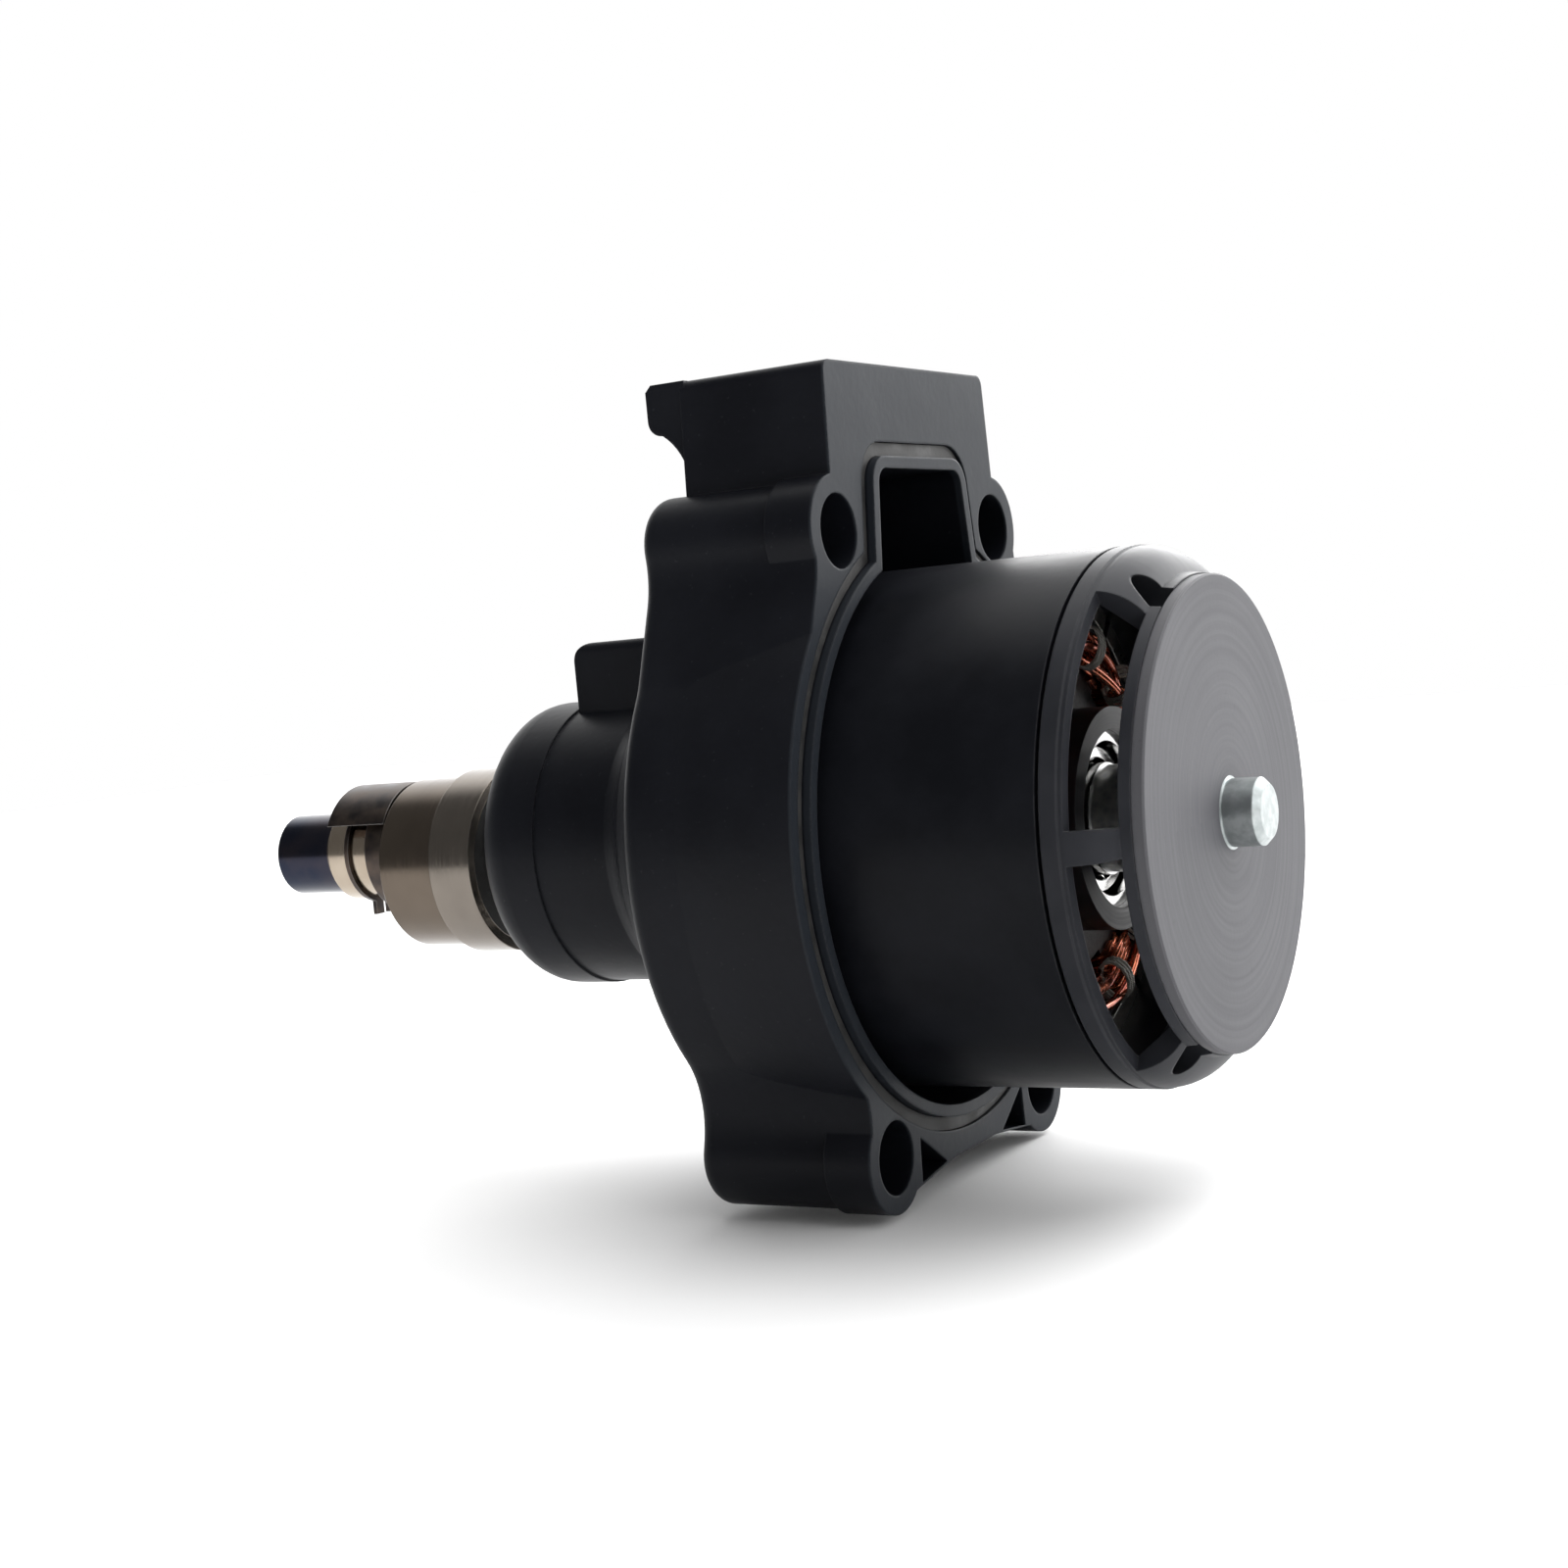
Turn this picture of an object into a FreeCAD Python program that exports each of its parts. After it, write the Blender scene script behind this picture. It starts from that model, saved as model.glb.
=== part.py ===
import FreeCAD, Part
import Sketcher
import math
import os
import re

# Brushless outer-rotor drive motor for a hydraulic pump head. Millimetres, +Z up.
# X is the motor axis: +X towards the rotor's end disc, -X towards the output journal.
# The origin is on the motor axis, in the plane of the housing's rear mounting face.

V = FreeCAD.Vector
X_AXIS = V(1, 0, 0)

SIZES = {
    # mounting face and bolt bosses
    "bolt_half_width": 16.0, "bolt_half_height": 27.5, "bolt_hole_radius": 3.3,
    "boss_radius": 4.6, "boss_collar_radius": 5.0, "boss_collar_depth": 4.6,
    "body_depth": 17.8, "body_radius": 28.4, "rim_radius": 29.4, "flank": 20.3, "flank_bend": 24.5, "shoulder_width": 24.3, "shoulder_high": 14.2,
    "low_flank": 19.8, "rim_depth": 12.0, "blend_radius": 8.0,
    "foot_low": 31.6, "foot_middle": 30.2, "rib_inner": 4.5,
    # terminal box on top of the body
    "box_top": 42.3, "box_half_width": 16.2, "box_base_half_width": 16.8, "box_depth": 14.6,
    "hook_depth": 18.2, "hook_height": 4.6, "hook_blend": 3.4,
    "window_half_top": 8.4, "window_half_base": 9.9, "window_low": 20.0, "window_high": 33.0,
    "window_depth": 11.5, "window_corner": 1.6,
    # rotor cavity, lips and seal groove
    "cavity_radius": 25.7, "cavity_depth": 15.2, "lip_width": 1.1, "lip_height": 0.5,
    "groove_width": 1.3, "groove_depth": 1.4,
    # neck
    "neck_radius": 14.2, "neck_end": 44.8, "neck_round": 3.9, "flare_start": 19.4,
    "flare_radius": 24.0, "flare_mid": 25.4, "flare_mid_radius": 17.2, "neck_start": 29.0,
    "neck_relief": 0.2, "seat_radius": 8.5, "seat_depth": 9.6,
    "neck_bore_radius": 6.5, "lug_high": 20.0, "lug_half_width": 4.6, "lug_end": 36.8, "lug_start": 26.0,
    # stator
    "tube_radius": 10.0, "tube_front": 24.0, "tube_back": 17.0, "stack_front": 8.8, "stack_back": 10.8,
    "tooth_count": 12, "tooth_width": 3.2, "yoke_radius": 13.2, "stack_radius": 20.1, "tip_thick": 1.1,
    "tip_half_angle": 12.0, "insulator_thick": 1.1, "insulator_lap": 0.35, "coil_side": 1.6,
    "coil_low": 13.9, "coil_high": 18.5,
    # rotor
    "can_radius": 24.0, "can_wall": 1.5, "can_front": 11.0, "can_back": 19.4, "seam_gap": 0.25,
    "magnet_thick": 1.9, "magnet_count": 14, "magnet_half_angle": 11.6, "magnet_front": 10.0,
    "magnet_back": 12.0, "bell_step": 21.2, "bell_round": 20.9, "bell_edge": 26.4, "bell_edge_radius": 21.2,
    "bell_plate": 1.0, "window_start": 21.7, "window_inner": 14.0, "spoke_half_angle": 3.4,
    "window_end_angle": 58.0, "balance_hole_radius": 1.8, "balance_hole_at": 21.3, "balance_hole_angle": 24.0,
    "hub_radius": 7.0, "hub_front": 19.8, "end_disc_radius": 20.9, "end_disc_thick": 1.1,
    # shaft
    "shaft_back": 30.9, "back_radius": 3.0, "press_radius": 3.25, "middle_radius": 4.0,
    "seat_journal": 4.5, "tip_radius": 4.25,
    "journal_radius": 5.0, "shaft_front": 78.7, "tip_start": 70.7, "end_chamfer": 0.6, "relief": 0.4,
    "eccentric_offset": 1.4, "eccentric_radius": 6.0, "crank_back": 48.3, "crank_front": 61.5,
    "front_seat_back": 34.0,
    # needle bearing on the eccentric
    "needle_ring_radius": 8.75, "needle_ring_inner": 7.58, "needle_radius": 0.75, "needle_count": 16,
    "needle_play": 0.03, "needle_ring_back": 53.9, "needle_ring_front": 60.9, "needle_length": 5.0,
    # counterweight and retaining ring on the front journal
    "weight_front": 69.0, "weight_back": 61.5, "weight_hub_front": 64.4, "weight_hub_radius": 6.3,
    "weight_radius": 7.2, "weight_flat": 3.4, "weight_bore": 5.7,
    "clip_at": 67.4, "clip_thick": 0.55, "clip_seat": 0.3, "clip_radius": 5.4, "clip_ear": 1.2,
    "clip_gap": 0.8, "clip_reach": 6.6,
    # ball bearings
    "front_bearing_back": 39.2, "front_bearing_width": 5.0, "front_pitch": 6.5, "front_ball": 1.3,
    "crank_bearing_back": 48.6, "crank_bearing_radius": 9.5, "crank_pitch": 7.25, "crank_ball": 1.55,
    "crank_seal_thick": 0.35,
    "rear_bearing_front": 11.2, "rear_bearing_width": 5.0, "rear_pitch": 6.0, "rear_ball": 1.1,
    "ball_count": 9, "race_play": 0.04, "cage_side": 0.35, "ring_thick": 1.05,
    # small parts
    "board_back": 13.0, "board_thick": 1.2, "board_radius": 22.6, "board_bore": 10.8, "post_radius": 2.0,
    "post_at": 18.6, "screw_radius": 1.0, "screw_head_radius": 1.9, "screw_head": 1.2,
    "seal_play": 0.05,
}

doc = FreeCAD.newDocument("DriveMotor")
sheet = doc.addObject("Spreadsheet::Sheet", "Sizes")
for row, (alias, number) in enumerate(SIZES.items(), 1):
    sheet.set("A%d" % row, alias)
    sheet.set("B%d" % row, str(number))
    sheet.setAlias("B%d" % row, alias)
doc.recompute()

nodes = []
POST_ANGLES = (30, 150, 270)


def size(alias):
    """A driving size, read from the sheet."""
    return float(sheet.get(alias))


def bind(feature, prop, text):
    """Bind a property to an expression of sheet names."""
    words = re.sub(r"[a-z_]+", lambda m: "Sizes." + m.group() if m.group() in SIZES else m.group(), text)
    feature.setExpression(prop, words)


def node(feature, label):
    """Mark a feature as a finished sub-part, named by its label."""
    feature.Label = label
    nodes.append(feature)
    return feature


def cylinder(name, radius, start, length, across="0", up="0"):
    """A cylinder along +X from start."""
    item = doc.addObject("Part::Cylinder", name)
    item.Placement = FreeCAD.Placement(V(0, 0, 0), FreeCAD.Rotation(V(0, 1, 0), 90))
    bind(item, "Radius", radius)
    bind(item, "Height", length)
    for axis, text in zip("xyz", (start, across, up)):
        bind(item, "Placement.Base." + axis, text)
    return item


def block(name, start, length, across, width, low, height):
    """A box from its lowest corner."""
    item = doc.addObject("Part::Box", name)
    for prop, text in (("Length", length), ("Width", width), ("Height", height)):
        bind(item, prop, text)
    for axis, text in zip("xyz", (start, across, low)):
        bind(item, "Placement.Base." + axis, text)
    return item


def ball(name, radius, x, across, up):
    item = doc.addObject("Part::Sphere", name)
    bind(item, "Radius", radius)
    for axis, text in zip("xyz", (x, across, up)):
        bind(item, "Placement.Base." + axis, text)
    return item


def fuse(name, parts):
    item = doc.addObject("Part::MultiFuse", name)
    item.Shapes = parts
    item.Refine = True
    return item


def cut(name, base, tool):
    item = doc.addObject("Part::Cut", name)
    item.Base = base
    item.Tool = tool
    return item


def turned(name, stations, up="0"):
    """A PartDesign body turned about X from (x, radius) stations given as expressions."""
    body = doc.addObject("PartDesign::Body", name)
    sketch = body.newObject("Sketcher::SketchObject", name + "_profile")
    plane = [f for f in body.Origin.OriginFeatures if f.Role == "XZ_Plane"][0]
    sketch.AttachmentSupport = [(plane, "")]
    sketch.MapMode = "FlatFace"
    count = len(stations)
    for i in range(count):
        here = 2 * math.pi * i / count
        there = 2 * math.pi * (i + 1) / count
        sketch.addGeometry(Part.LineSegment(V(9 * math.cos(here), 20 + 9 * math.sin(here), 0),
                                            V(9 * math.cos(there), 20 + 9 * math.sin(there), 0)), False)
    for i in range(count):
        sketch.addConstraint(Sketcher.Constraint("Coincident", i, 2, (i + 1) % count, 1))
    for i, (along, radius) in enumerate(stations):
        point = sketch.getPoint(i, 1)
        if along == "0":
            sketch.addConstraint(Sketcher.Constraint("PointOnObject", i, 1, -2))
        else:
            k = sketch.addConstraint(Sketcher.Constraint("DistanceX", -1, 1, i, 1, point.x))
            bind(sketch, "Constraints[%d]" % k, along)
        if radius == "0":
            sketch.addConstraint(Sketcher.Constraint("PointOnObject", i, 1, -1))
        else:
            k = sketch.addConstraint(Sketcher.Constraint("DistanceY", -1, 1, i, 1, point.y))
            bind(sketch, "Constraints[%d]" % k, radius)
    turn = body.newObject("PartDesign::Revolution", name + "_turn")
    turn.Profile = sketch
    turn.ReferenceAxis = (sketch, ["H_Axis"])
    turn.Angle = 360
    bind(body, "Placement.Base.z", up)
    return body


def ring(name, outer, inner, start, end, up="0"):
    return turned(name, [(start, inner), (end, inner), (end, outer), (start, outer)], up)


def solid_feature(name, shape):
    item = doc.addObject("Part::Feature", name)
    item.Shape = shape
    return item


def around(name, master, angles, centre_up=0.0):
    """Copies of a master solid turned about the X axis through (0, centre_up)."""
    copies = []
    for angle in angles:
        copy = master.Shape.copy()
        copy.rotate(V(0, 0, centre_up), X_AXIS, angle)
        copies.append(copy)
    return solid_feature(name, Part.makeCompound(copies))


def face_of(points):
    """A flat face in the YZ plane from (y, z) points."""
    corners = [V(0, y, z) for y, z in points]
    return Part.Face(Part.makePolygon(corners + corners[:1]))


def disc_face(radius, y=0.0, z=0.0):
    return Part.Face(Part.Wire(Part.makeCircle(radius, V(0, y, z), X_AXIS)))


def merged(faces):
    shape = faces[0].multiFuse(faces[1:]).removeSplitter()
    return shape.Faces[0]


def rounded(face, radius):
    """Fill a face's concave corners with an arc of the given radius."""
    return face.makeOffset2D(radius, fill=False, join=0).makeOffset2D(-radius, fill=False, join=0)


def prism(name, face, start, end):
    lifted = face.copy()
    lifted.translate(V(start, 0, 0))
    return solid_feature(name, lifted.extrude(V(end - start, 0, 0)))


# ---------------------------------------------------------------- housing
def body_outline():
    """Round body, four bolt bosses and the foot ribs, blended into one outline."""
    wide, high = size("bolt_half_width"), size("bolt_half_height")
    faces = [disc_face(size("body_radius"))]
    for y in (-wide, wide):
        for z in (-high, high):
            faces.append(disc_face(size("boss_radius"), y, z))
    low, middle, inner = size("foot_low"), size("foot_middle"), size("rib_inner")
    faces.append(face_of([(-wide, -low), (-inner, -middle), (inner, -middle), (wide, -low),
                          (wide, -high), (-wide, -high)]))
    flank, bend, low_flank = size("flank"), size("flank_bend"), size("low_flank")
    shoulder, shoulder_high = size("shoulder_width"), size("shoulder_high")
    faces.append(face_of([(-flank, bend), (-shoulder, shoulder_high), (0, 4), (shoulder, shoulder_high),
                          (flank, bend), (flank, high - 0.5), (-flank, high - 0.5)]))
    faces.append(face_of([(-low_flank, 0.5 - high), (low_flank, 0.5 - high), (low_flank, -10),
                          (-low_flank, -10)]))
    return rounded(merged(faces), size("blend_radius"))


def window_face(grow):
    """The cable window, wider at its base, grown outwards by grow."""
    top, base = size("window_half_top"), size("window_half_base")
    low, high, corner = size("window_low"), size("window_high"), size("window_corner")
    face = face_of([(-base, low), (base, low), (top, high), (-top, high)])
    face = face.makeOffset2D(-corner).makeOffset2D(corner, join=0)
    return face.makeOffset2D(grow, join=0) if grow else face


def opening_face(grow):
    """The rotor opening joined to the cable window, grown outwards by grow."""
    return merged([disc_face(size("cavity_radius") + grow), window_face(grow)])


def top_box_outline():
    top, base = size("box_half_width"), size("box_base_half_width")
    face = face_of([(-base, 20), (base, 20), (base, 30), (top, size("box_top")), (-top, size("box_top")),
                    (-base, 30)])
    solid = face.makeOffset2D(-1.0).makeOffset2D(1.0, join=0)
    return solid


def hook_profile():
    """Side view of the box's overhanging front lip, with its hollow underside."""
    back, front = -size("box_depth") + 0.5, -size("hook_depth")
    top, low, blend = size("box_top"), size("box_top") - size("hook_height"), size("hook_blend")
    nose = 1.4
    wall = -size("box_depth")
    points = [V(back, 0, top), V(front + 0.6, 0, top), V(front, 0, top - 0.6), V(front, 0, low + nose)]
    edges = [Part.makeLine(points[0], points[1]), Part.makeLine(points[1], points[2]),
             Part.makeLine(points[2], points[3])]
    edges.append(Part.Arc(points[3], V(front + 0.4, 0, low + 0.4), V(front + nose, 0, low)).toShape())
    edges.append(Part.Arc(V(front + nose, 0, low), V(wall - 0.7, 0, low - blend * 0.45),
                          V(wall, 0, low - blend * 1.9)).toShape())
    edges.append(Part.makeLine(V(wall, 0, low - blend * 1.9), V(back, 0, low - blend * 1.9)))
    edges.append(Part.makeLine(V(back, 0, low - blend * 1.9), points[0]))
    return Part.Face(Part.Wire(edges))


def neck_profile():
    """Half section of the flare and the neck, before boring. The neck's front land is its pilot."""
    neck, end, curve = size("neck_radius"), size("neck_end"), size("neck_round")
    relief = neck - size("neck_relief")
    start, land = size("flare_start"), size("lug_end") + 0.3
    wide, mid, narrow = size("flare_radius"), size("flare_mid"), size("flare_mid_radius")
    half = curve * math.sqrt(0.5)

    def at(along, radius):
        return V(-along, 0, radius)

    return Part.Face(Part.Wire([
        Part.makeLine(at(10, 0), at(10, wide)),
        Part.makeLine(at(10, wide), at(start, wide)),
        Part.Arc(at(start, wide), at(start + 2.2, narrow + 3.6), at(mid, narrow)).toShape(),
        Part.Arc(at(mid, narrow), at(mid + 1.5, relief + 1.1), at(size("neck_start"), relief)).toShape(),
        Part.makeLine(at(size("neck_start"), relief), at(land, relief)),
        Part.makeLine(at(land, relief), at(land, neck)),
        Part.makeLine(at(land, neck), at(end - curve, neck)),
        Part.Arc(at(end - curve, neck), at(end - curve + half, neck - curve + half),
                 at(end, neck - curve)).toShape(),
        Part.makeLine(at(end, neck - curve), at(end, 0)),
        Part.makeLine(at(end, 0), at(10, 0))]))


def housing():
    depth = size("body_depth")
    body = prism("body_block", body_outline(), -depth, 0)
    front_edges = [e for e in body.Shape.Edges
                   if abs(e.BoundBox.XMax + depth) < 0.01 and abs(e.BoundBox.XMin + depth) < 0.01]
    body.Shape = body.Shape.makeFillet(1.6, front_edges)
    rim = turned("body_rim", [("-rim_depth", "10"), ("0", "10"), ("0", "rim_radius"),
                              ("-rim_depth", "body_radius")])
    box = prism("box_block", top_box_outline(), -size("box_depth"), 0)
    hook = solid_feature("box_hook", hook_profile().extrude(V(0, 2 * size("box_half_width"), 0)))
    hook.Placement = FreeCAD.Placement(V(0, -size("box_half_width"), 0), FreeCAD.Rotation())
    neck = solid_feature("neck_block", neck_profile().revolve(V(0, 0, 0), X_AXIS, 360))
    collars = [cylinder("boss_collar_%d" % i, "boss_collar_radius", "-boss_collar_depth", "boss_collar_depth",
                        "%d * bolt_half_width" % side, "%d * bolt_half_height" % level)
               for i, (side, level) in enumerate(((-1, 1), (1, 1), (-1, -1), (1, -1)))]
    lug = block("neck_lug", "-lug_end", "lug_end - lug_start", "-lug_half_width", "2 * lug_half_width",
                "0", "lug_high")
    posts = [cylinder("board_post_%d" % i, "post_radius", "-cavity_depth - 1",
                      "cavity_depth + 1 - board_back - board_thick",
                      "post_at * cos(%d deg)" % angle, "post_at * sin(%d deg)" % angle)
             for i, angle in enumerate(POST_ANGLES)]
    doc.recompute()
    lug_edges = [i + 1 for i, e in enumerate(lug.Shape.Edges)
                 if abs(e.BoundBox.XMax + size("lug_end")) < 0.01 and e.BoundBox.ZMin > 1
                 or e.BoundBox.ZMin > size("lug_high") - 0.01 and e.BoundBox.YLength < 0.01]
    lug_round = doc.addObject("Part::Fillet", "lug_rounded")
    lug_round.Base = lug
    lug_round.Edges = [(i, 1.8, 1.8) for i in lug_edges[:1]] + [(i, 0.9, 0.9) for i in lug_edges[1:]]
    shell = fuse("housing_shell", [body, rim, box, hook, neck, lug_round] + collars)

    lip = size("lip_height")
    lips = prism("face_lip", opening_face(size("lip_width")).cut(opening_face(0)), -1, lip)
    shell = fuse("housing_with_lip", [shell, lips])

    cavity = cylinder("rotor_cavity", "cavity_radius", "-cavity_depth", "cavity_depth + 2")
    window = prism("cable_window", window_face(0), -size("window_depth"), 2)
    inner = size("lip_width")
    groove = prism("seal_groove", opening_face(inner + size("groove_width")).cut(opening_face(inner)),
                   -size("groove_depth"), 1)
    holes = [cylinder("bolt_hole_%d" % i, "bolt_hole_radius", "-30", "40",
                      "%d * bolt_half_width" % side, "%d * bolt_half_height" % level)
             for i, (side, level) in enumerate(((-1, 1), (1, 1), (-1, -1), (1, -1)))]
    pocket_points = [(size("rib_inner") + 1.6, -30.2), (11.4, -30.9), (11.2, -26.8)]
    pockets = []
    for side in (-1, 1):
        face = face_of([(side * y, z) for y, z in pocket_points]).cut(disc_face(28.9))
        pockets.append(prism("foot_pocket", face, -7, 1))
    tube_seat = cylinder("tube_seat", "tube_radius", "-tube_front", "tube_front")
    bore = cylinder("neck_bore", "neck_bore_radius", "-neck_end - 1", "neck_end")
    seat = cylinder("bearing_seat", "seat_radius", "-neck_end - 1", "seat_depth + 1")
    hollow = fuse("housing_hollow", [cavity, window, groove, tube_seat, bore, seat] + holes + pockets)
    bored = cut("housing_bored", shell, hollow)
    post_bores = [cylinder("post_bore_%d" % i, "screw_radius", "-cavity_depth - 0.8", "5",
                           "post_at * cos(%d deg)" % angle, "post_at * sin(%d deg)" % angle)
                  for i, angle in enumerate(POST_ANGLES)]
    return node(cut("housing_body", fuse("housing_with_posts", [bored] + posts),
                    fuse("post_bore_set", post_bores)), "housing")


housing()
doc.recompute()

# seal cord in the groove of the mounting face, a little proud of its floor
seal_inner = size("lip_width") + 0.05
seal_outer = size("lip_width") + size("groove_width") - 0.05
node(prism("seal_cord", opening_face(seal_outer).cut(opening_face(seal_inner)),
           -size("groove_depth"), -0.35), "face_seal")

# ---------------------------------------------------------------- stator
node(turned("tube_body", [("-tube_front", "neck_bore_radius"), ("rear_bearing_front - 0.6", "neck_bore_radius"),
                          ("rear_bearing_front - 0.6", "8"), ("tube_back", "8"), ("tube_back", "tube_radius"),
                          ("-tube_front", "tube_radius")]), "stator_tube")


def tooth_face(grow, tip_grow):
    """Yoke ring and teeth with their tips, as one face."""
    half = size("tooth_width") / 2 + grow
    outer = size("stack_radius")
    tip = math.radians(size("tip_half_angle"))
    inner = outer - size("tip_thick") - tip_grow
    faces = [disc_face(size("yoke_radius") + grow)]
    for i in range(int(size("tooth_count"))):
        turn = math.radians(360.0 / size("tooth_count") * i)
        limb = face_of([(10, -half), (outer - 0.6, -half), (outer - 0.6, half), (10, half)])
        start = V(0, outer * math.cos(-tip), outer * math.sin(-tip))
        end = V(0, outer * math.cos(tip), outer * math.sin(tip))
        back = V(0, inner * math.cos(tip), inner * math.sin(tip))
        front = V(0, inner * math.cos(-tip), inner * math.sin(-tip))
        shoe = Part.Face(Part.Wire([Part.Arc(start, V(0, outer, 0), end).toShape(), Part.makeLine(end, back),
                                    Part.Arc(back, V(0, inner, 0), front).toShape(),
                                    Part.makeLine(front, start)]))
        for face in (limb, shoe):
            face.rotate(V(0, 0, 0), X_AXIS, math.degrees(turn))
            faces.append(face)
    return merged(faces).cut(disc_face(size("tube_radius")))


stack_front, stack_back = -size("stack_front"), size("stack_back")
insulator = size("insulator_thick")
lap = size("insulator_lap")
node(prism("laminations", tooth_face(0, 0), stack_front, stack_back), "stator_stack")
node(prism("front_end_plate", tooth_face(lap, 0.3), stack_front - insulator, stack_front), "front_insulator")
node(prism("rear_end_plate", tooth_face(lap, 0.3), stack_back, stack_back + insulator), "rear_insulator")


def coil():
    """One tooth's winding: a rounded block with a slot for the tooth."""
    half = size("tooth_width") / 2 + lap + 0.05
    side = size("coil_side")
    low, high = size("coil_low"), size("coil_high")
    front, back = stack_front - insulator, stack_back + insulator
    outer = Part.makeBox(back - front + 2 * side, 2 * (half + side), high - low,
                         V(front - side, -half - side, low))
    edges = [e for e in outer.Edges if e.BoundBox.ZLength > 1]
    outer = outer.makeFillet(side * 0.95, edges)
    inner = Part.makeBox(back - front, 2 * half, high - low + 2, V(front, -half, low - 1))
    return outer.cut(inner)


coil_master = solid_feature("coil_master", coil())
step = 360.0 / size("tooth_count")
for phase, letter in enumerate("uvw"):
    angles = [step * (phase + 3 * i) for i in range(4)]
    node(around("coils_" + letter, coil_master, angles), "coils_phase_" + letter)

# ---------------------------------------------------------------- sensor board
board_shape = cylinder("board_blank", "board_radius", "-board_back - board_thick", "board_thick")
board_hole = cylinder("board_bore_tool", "board_bore", "-20", "20")
board_holes = [cylinder("board_hole_%d" % i, "screw_radius + 0.15", "-20", "20",
                        "post_at * cos(%d deg)" % angle, "post_at * sin(%d deg)" % angle)
               for i, angle in enumerate(POST_ANGLES)]
node(cut("board_disc", board_shape, fuse("board_tools", [board_hole] + board_holes)), "sensor_board")

screws = []
for i, angle in enumerate(POST_ANGLES):
    place = ("post_at * cos(%d deg)" % angle, "post_at * sin(%d deg)" % angle)
    head = cylinder("screw_head_%d" % i, "screw_head_radius", "-board_back", "screw_head", *place)
    stem = cylinder("screw_stem_%d" % i, "screw_radius - 0.05", "-cavity_depth - 0.4",
                    "cavity_depth + 0.4 - board_back", *place)
    screws.append(fuse("board_screw_%d" % i, [head, stem]))
doc.recompute()
screw_set = doc.addObject("Part::Compound", "screw_set")
screw_set.Links = screws
node(screw_set, "board_screws")

sensor = solid_feature("sensor_master", Part.makeBox(1.4, 4.0, 3.0, V(-size("board_back"), -2.0, 19.0)))
node(around("sensor_set", sensor, (0, -17.14, 17.14)), "hall_sensors")
socket = solid_feature("socket_master", Part.makeBox(1.2, 7.0, 3.5, V(-size("board_back"), -3.5, 18.8)))
node(around("socket_body", socket, (90,)), "signal_socket")


# ---------------------------------------------------------------- bearings
def bearing(prefix, start, end, bore, outside, pitch, ball_radius, up="0"):
    """Rings with a running groove, balls and a cage for a bearing from start to end."""
    middle = "(%s + %s) / 2" % (start, end)
    race = doc.addObject("Part::Torus", prefix + "_race")
    race.Placement = FreeCAD.Placement(V(0, 0, 0), FreeCAD.Rotation(V(0, 1, 0), 90))
    bind(race, "Radius1", pitch)
    bind(race, "Radius2", ball_radius + " + race_play")
    bind(race, "Placement.Base.x", middle)
    bind(race, "Placement.Base.z", up)
    outer = ring(prefix + "_outer_blank", outside, outside + " - ring_thick", start, end, up)
    inner = ring(prefix + "_inner_blank", bore + " + ring_thick", bore, start, end, up)
    node(cut(prefix + "_outer", outer, race), prefix + "_bearing_outer_ring")
    node(cut(prefix + "_inner", inner, race), prefix + "_bearing_inner_ring")
    balls, pockets = [], []
    for i in range(int(SIZES["ball_count"])):
        place = (middle, "%s * cos(%d deg)" % (pitch, 40 * i), "%s * sin(%d deg) + %s" % (pitch, 40 * i, up))
        balls.append(ball("%s_ball_%d" % (prefix, i), ball_radius, *place))
        pockets.append(ball("%s_pocket_%d" % (prefix, i), ball_radius + " + race_play", *place))
    balls_set = doc.addObject("Part::Compound", prefix + "_balls")
    balls_set.Links = balls
    node(balls_set, prefix + "_bearing_balls")
    band = ring(prefix + "_cage_band", pitch + " + 0.45", pitch + " - 0.45",
                "%s - %s - cage_side" % (middle, ball_radius), "%s + %s + cage_side" % (middle, ball_radius), up)
    node(cut(prefix + "_cage", band, fuse(prefix + "_pockets", pockets)), prefix + "_bearing_cage")


bearing("front", "-front_bearing_back - front_bearing_width", "-front_bearing_back", "seat_journal",
        "seat_radius", "front_pitch", "front_ball")
bearing("rear", "rear_bearing_front", "rear_bearing_front + rear_bearing_width", "middle_radius",
        "8", "rear_pitch", "rear_ball")
bearing("crank", "-crank_bearing_back - front_bearing_width", "-crank_bearing_back", "journal_radius",
        "crank_bearing_radius", "crank_pitch", "crank_ball", "-eccentric_offset")
seals = [ring("crank_seal_%d" % i, "crank_bearing_radius - ring_thick", "journal_radius + ring_thick + 0.1",
              start, start + " + crank_seal_thick", "-eccentric_offset")
         for i, start in enumerate(("-crank_bearing_back - front_bearing_width + 0.15",
                                    "-crank_bearing_back - crank_seal_thick - 0.15"))]
seal_set = doc.addObject("Part::Compound", "crank_seals")
seal_set.Links = seals
node(seal_set, "crank_bearing_seals")
node(ring("seal_body", "seat_radius", "seat_journal + seal_play", "-front_bearing_back + 0.2",
          "-front_bearing_back + 3.9"), "shaft_seal")
node(ring("wave_body", "7.8", "5.9", "rear_bearing_front - 0.6", "rear_bearing_front"), "wave_washer")

# ---------------------------------------------------------------- rotor
node(ring("can_body", "can_radius", "can_radius - can_wall", "-can_front", "can_back"), "flux_ring")


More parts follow.
